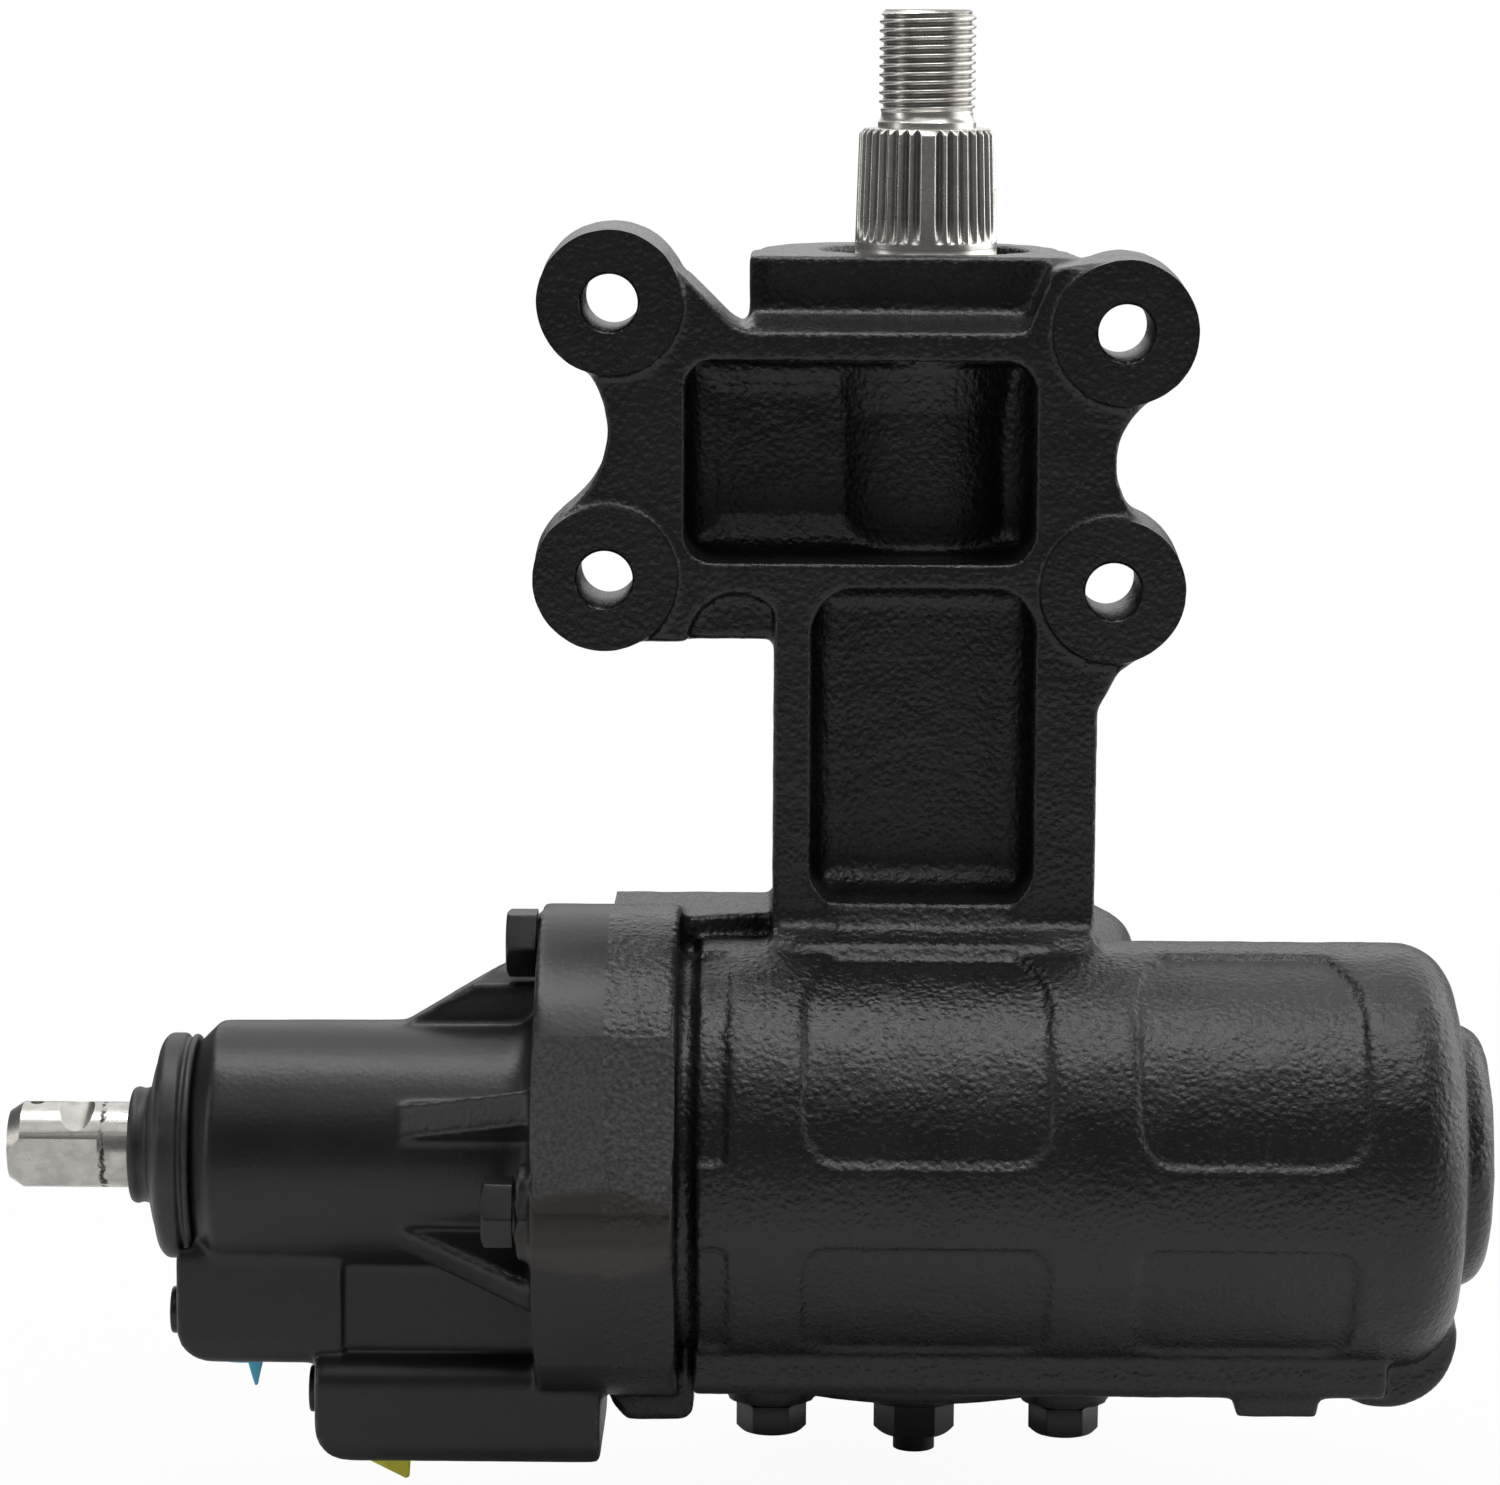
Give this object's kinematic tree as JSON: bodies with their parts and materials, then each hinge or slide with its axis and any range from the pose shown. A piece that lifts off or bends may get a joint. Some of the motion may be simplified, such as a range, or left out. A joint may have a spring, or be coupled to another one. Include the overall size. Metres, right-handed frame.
{
  "type": "power steering gearbox",
  "caption": "Recirculating-ball power steering gearbox: black cast housing with mounting lugs, bolted valve housing with an input shaft, and a serrated, threaded pitman shaft.",
  "frame": {"origin": "middle of the four mounting lugs, on the plane of their machined faces", "axes": "+Z along the sector shaft towards its threaded pitman end, +X along the worm away from the input shaft, -Y out of the machined lug faces, where the vehicle's frame is"},
  "size_m": [0.3305, 0.16, 0.3376],
  "materials": {
    "cast_paint": "black paint on rough cast iron",
    "valve_paint": "black paint on smoother cast iron",
    "cover_paint": "black paint on cast iron",
    "bolt_paint": "black painted steel",
    "bare_steel": "turned bare steel",
    "hardened_steel": "ground hardened steel",
    "seal_rubber": "matte",
    "bushing_bronze": "turned bronze",
    "blue_plastic": "translucent moulded plastic",
    "yellow_plastic": "moulded plastic"
  },
  "bodies": {
    "housing": {"gear_housing": "cast_paint", "valve_housing": "valve_paint", "side_cover": "cover_paint", "side_cover_o_ring": "seal_rubber", "side_cover_bolts": "bolt_paint", "adjuster_screw": "bolt_paint", "adjuster_lock_nut": "bolt_paint", "valve_housing_bolts": "bolt_paint", "valve_housing_o_ring": "seal_rubber", "sector_upper_bearing": "hardened_steel", "sector_lower_bearing": "hardened_steel", "side_cover_bushing": "bushing_bronze", "sector_oil_seal": "seal_rubber", "sector_dust_seal": "seal_rubber", "seal_retaining_ring": "hardened_steel", "input_dust_cover": "seal_rubber", "input_oil_seal": "seal_rubber", "input_retaining_ring": "hardened_steel", "input_bearing": "hardened_steel", "worm_bearing_outer_ring": "hardened_steel", "worm_bearing_balls": "hardened_steel", "return_port_plug": "blue_plastic", "pressure_port_plug": "yellow_plastic", "port_seats": "bushing_bronze", "passage_plugs": "bolt_paint"},
    "worm": {"worm_shaft": "hardened_steel", "worm_bearing_inner_ring": "hardened_steel", "valve_sleeve": "hardened_steel", "sleeve_rings": "seal_rubber", "sleeve_pin": "hardened_steel"},
    "input": {"input_shaft": "bare_steel", "torsion_bar": "hardened_steel", "torsion_bar_pin": "hardened_steel"},
    "rack": {"rack_piston": "hardened_steel", "piston_ring": "seal_rubber", "bearing_balls": "hardened_steel", "ball_return_guide": "hardened_steel", "guide_clamp": "hardened_steel", "guide_clamp_screws": "hardened_steel", "piston_end_plug": "hardened_steel"},
    "sector": {"sector_shaft": "bare_steel", "adjuster_retainer": "hardened_steel"}
  },
  "joints": [
    {"name": "worm_turn", "type": "hinge", "parent": "housing", "child": "worm", "pos_m": [0.0145, 0.002, -0.1575], "axis": [1, 0, 0], "range_deg": [-632, 632]},
    {"name": "rack_slide", "type": "slide", "parent": "housing", "child": "rack", "axis": [1, 0, 0], "range_m": [-0.01925, 0.01925]},
    {"name": "sector_turn", "type": "hinge", "parent": "housing", "child": "sector", "pos_m": [0.0145, 0.054, 0], "axis": [0, 0, 1], "range_deg": [-40.3, 40.3]},
    {"name": "input_twist", "type": "hinge", "parent": "worm", "child": "input", "pos_m": [0.0145, 0.002, -0.1575], "axis": [1, 0, 0], "range_deg": [-4.5, 4.5], "stiffness_Nm_per_rad": 100}
  ],
  "couplings": [
    {"joint": "worm_turn", "follows": "rack_slide", "rad_per_m": -571.2},
    {"joint": "sector_turn", "follows": "rack_slide", "rad_per_m": 36.364}
  ]
}
